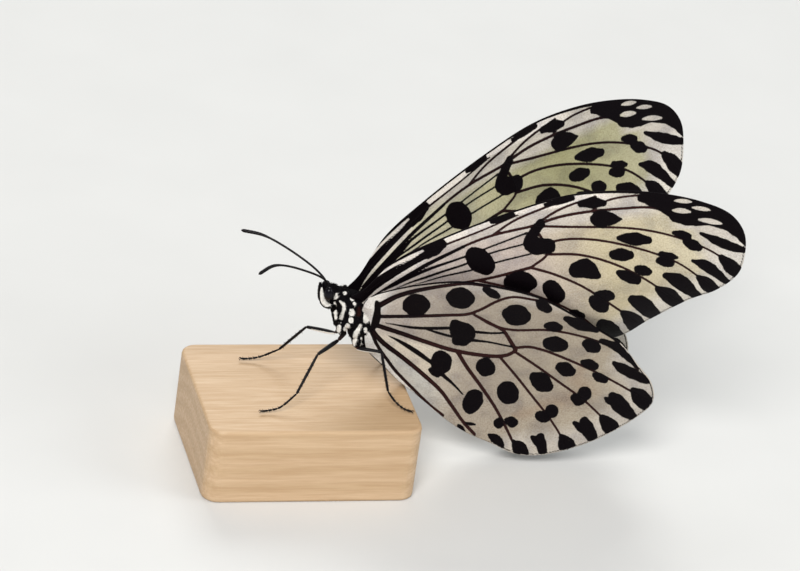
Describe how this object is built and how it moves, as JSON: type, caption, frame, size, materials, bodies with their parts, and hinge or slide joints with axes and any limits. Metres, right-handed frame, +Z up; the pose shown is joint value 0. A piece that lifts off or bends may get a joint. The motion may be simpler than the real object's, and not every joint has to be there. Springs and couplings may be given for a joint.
{
  "type": "common tree nymph butterfly model",
  "caption": "Life-size still butterfly at rest, wings half closed over its slender body, long feelers forward, standing on the rear edge of a plain wooden block that its wings overhang.",
  "frame": {"origin": "centre of the underside of the wooden block", "axes": "+X from the head towards the wing tips and tail, +Y to the animal's right, +Z up"},
  "size_m": [0.0935, 0.0428, 0.066],
  "materials": {
    "stand_wood": "pale, fine-grained wood, sanded and lightly waxed",
    "body_hair": "short dense black hair and scales with white spots and lines",
    "horn": "black, finely scaled horn with a soft gloss",
    "eye": "smooth, dark, faceted, glossy",
    "wing_scales": "powdery cream scales, black veins, spots and edge marks"
  },
  "bodies": {
    "root": {"stand_base": "stand_wood", "head": "body_hair", "thorax": "body_hair", "abdomen": "body_hair", "eye_left": "eye", "eye_right": "eye", "palp_left": "body_hair", "palp_right": "body_hair", "proboscis": "horn", "antenna_left": "horn", "antenna_right": "horn", "foreleg_left": "body_hair", "foreleg_right": "body_hair", "midleg_left": "horn", "midleg_right": "horn", "hindleg_left": "horn", "hindleg_right": "horn", "forewing_left": "wing_scales", "forewing_right": "wing_scales", "hindwing_left": "wing_scales", "hindwing_right": "wing_scales"}
  },
  "joints": []
}
